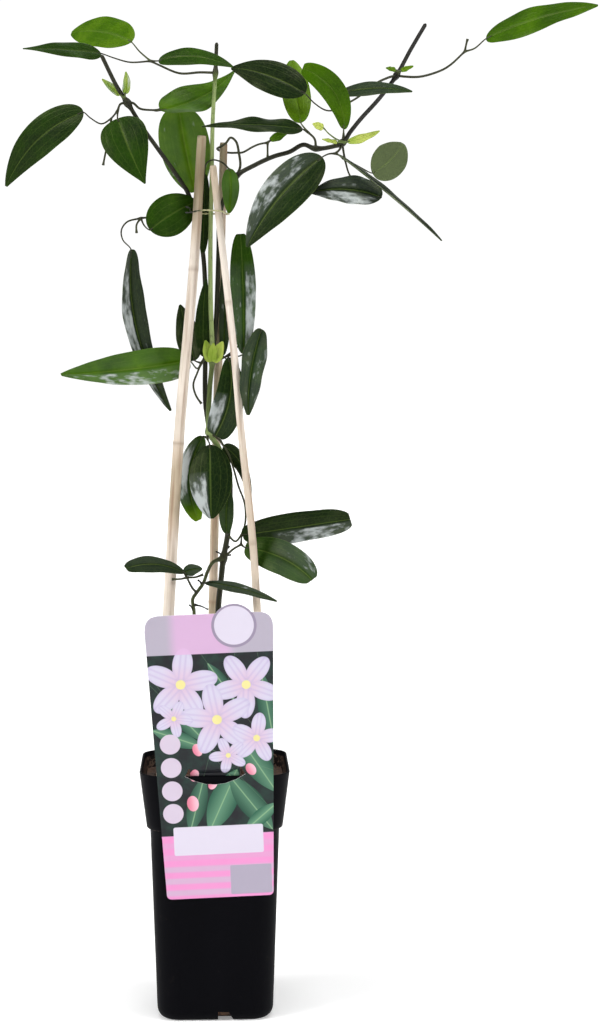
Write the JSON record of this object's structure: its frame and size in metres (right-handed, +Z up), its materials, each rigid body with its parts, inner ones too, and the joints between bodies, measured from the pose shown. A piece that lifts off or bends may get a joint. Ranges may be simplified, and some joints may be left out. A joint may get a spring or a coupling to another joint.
{
  "type": "potted clematis plant",
  "caption": "Young evergreen clematis climbing a tripod of canes in a square nursery pot, with a printed picture card hooked on the rim.",
  "frame": {"origin": "on the floor under the middle of the pot's base", "axes": "+Z up; the label card faces -Y; +X is to the right of someone who faces the card"},
  "size_m": [0.4264, 0.1397, 0.7391],
  "materials": {
    "pot": "black moulded plastic with a soft sheen",
    "soil": "dark crumbly growing mix",
    "cane": "pale cane with fine lengthwise grain",
    "tie": "dark twist tie",
    "card": "printed glossy card with plain blossoms and bare panels",
    "stem": "young dark green to brown stem",
    "leaf": "glossy leathery evergreen leaf",
    "shoot": "soft pale young leaf"
  },
  "bodies": {
    "root": {"pot": "pot", "soil": "soil", "cane_left": "cane", "cane_right": "cane", "cane_rear": "cane", "cane_tie": "tie", "label_card": "card", "vine": "stem", "leaf_top_left": "leaf", "leaf_left_curled": "leaf", "leaf_left_hanging": "leaf", "leaf_top_right": "leaf", "leaf_right_middle": "leaf", "leaf_right_rising": "leaf", "leaf_right_pair": "leaf", "leaf_twining": "leaf", "leaf_right_glossy": "leaf", "leaf_right_low": "leaf", "leaf_middle_bud": "leaf", "leaf_left_tendril": "leaf", "leaf_centre_left": "leaf", "leaf_centre_right": "leaf", "leaf_low_left": "leaf", "leaf_low_right": "leaf", "leaf_low_small": "leaf", "leaf_foot_right": "leaf", "leaf_foot_front": "leaf", "leaf_foot_left": "leaf", "shoot_left": "shoot", "shoot_right": "shoot", "shoot_top_right": "shoot", "shoot_centre": "shoot"}
  },
  "joints": []
}
